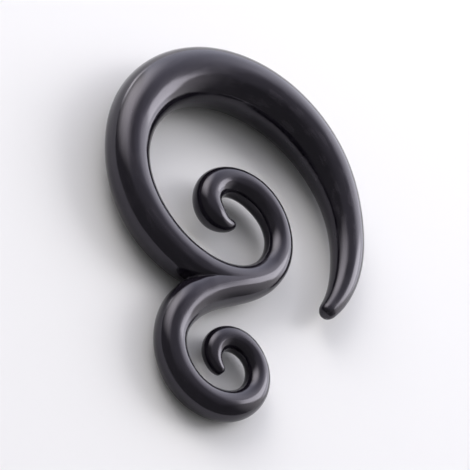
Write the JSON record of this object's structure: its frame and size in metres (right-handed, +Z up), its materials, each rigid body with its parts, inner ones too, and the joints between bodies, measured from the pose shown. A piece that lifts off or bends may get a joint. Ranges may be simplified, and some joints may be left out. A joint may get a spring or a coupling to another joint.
{
  "type": "ear hanger taper",
  "caption": "Rigid black acrylic ear hanger in one piece: a thick hook that thins to a taper for a stretched lobe, on a double scroll.",
  "frame": {"origin": "middle of the bounding box's base, on the table that the piece lies on", "axes": "+Z up from the table, +Y along the piece towards the top of the hook, +X towards the thin leg of the taper"},
  "size_m": [0.0376, 0.0522, 0.008],
  "materials": {
    "acrylic": "polished"
  },
  "bodies": {
    "root": {"ear_taper": "acrylic"}
  },
  "joints": []
}
